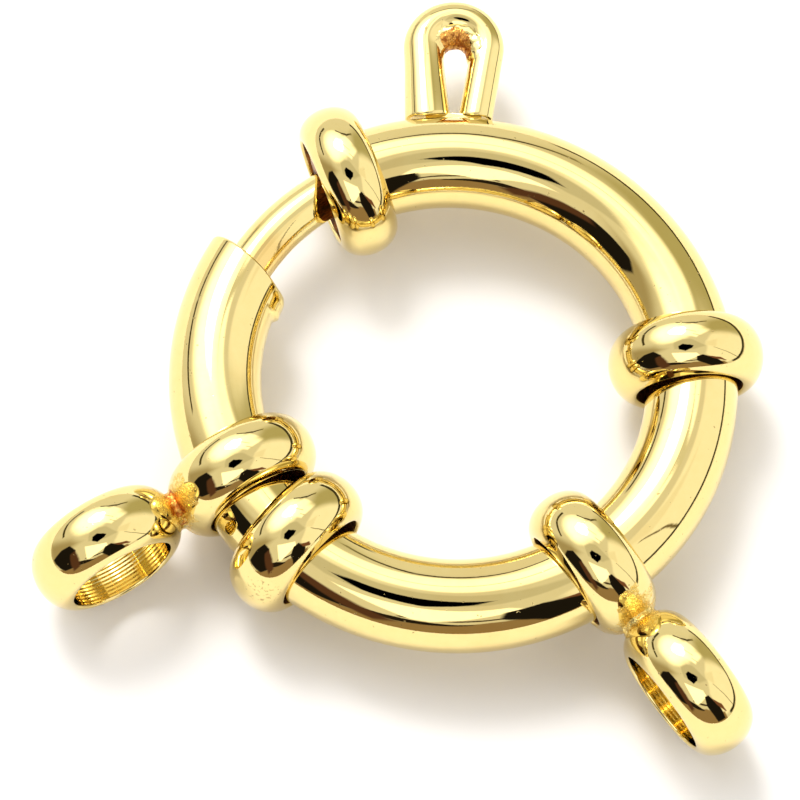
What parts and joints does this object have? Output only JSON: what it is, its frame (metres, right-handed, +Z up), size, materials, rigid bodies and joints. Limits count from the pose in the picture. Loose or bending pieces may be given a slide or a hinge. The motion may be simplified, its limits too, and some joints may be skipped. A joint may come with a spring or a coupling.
{
  "type": "spring ring clasp",
  "caption": "Round tube clasp with a sprung tongue and thumb loop, round-backed beads, and figure-eight links that slide round the tube and carry the ends of a necklace or bracelet.",
  "frame": {"origin": "centre of the ring, in the tube's middle plane", "axes": "+Z up from the surface that the clasp lies on, square to the ring's plane; +Y towards the thumb loop when the clasp is closed"},
  "size_m": [0.0255, 0.0282, 0.0054],
  "materials": {
    "ring_plate": "gold plate, mirror polished",
    "bead_plate": "gold plate, mirror polished",
    "link_plate": "gold plate, mirror polished, soldered at the neck",
    "tongue_plate": "gold plate, polished",
    "loop_plate": "gold plate, polished, crinkled inside the bend",
    "spring_wire": "drawn spring wire"
  },
  "bodies": {
    "ring": {"ring_tube": "ring_plate", "mouth_bead": "bead_plate", "shoulder_bead": "bead_plate", "stop_bead": "bead_plate", "coil_spring": "spring_wire"},
    "tongue": {"tongue": "tongue_plate", "thumb_loop": "loop_plate"},
    "left_link": {"left_link": "link_plate"},
    "right_link": {"right_link": "link_plate"}
  },
  "joints": [
    {"name": "tongue_slide", "type": "hinge", "parent": "ring", "child": "tongue", "pos_m": [0, 0, 0], "axis": [0, 0, -1], "range_deg": [0, 33], "stiffness_Nm_per_rad": 0.018, "springref_deg": -18.33, "deforming": ["coil_spring"]},
    {"name": "left_link_slide", "type": "hinge", "parent": "ring", "child": "left_link", "pos_m": [0, 0, 0], "axis": [0, 0, 1], "range_deg": [-37, 1]},
    {"name": "right_link_slide", "type": "hinge", "parent": "ring", "child": "right_link", "pos_m": [0, 0, 0], "axis": [0, 0, 1], "range_deg": [-54, 38]}
  ]
}
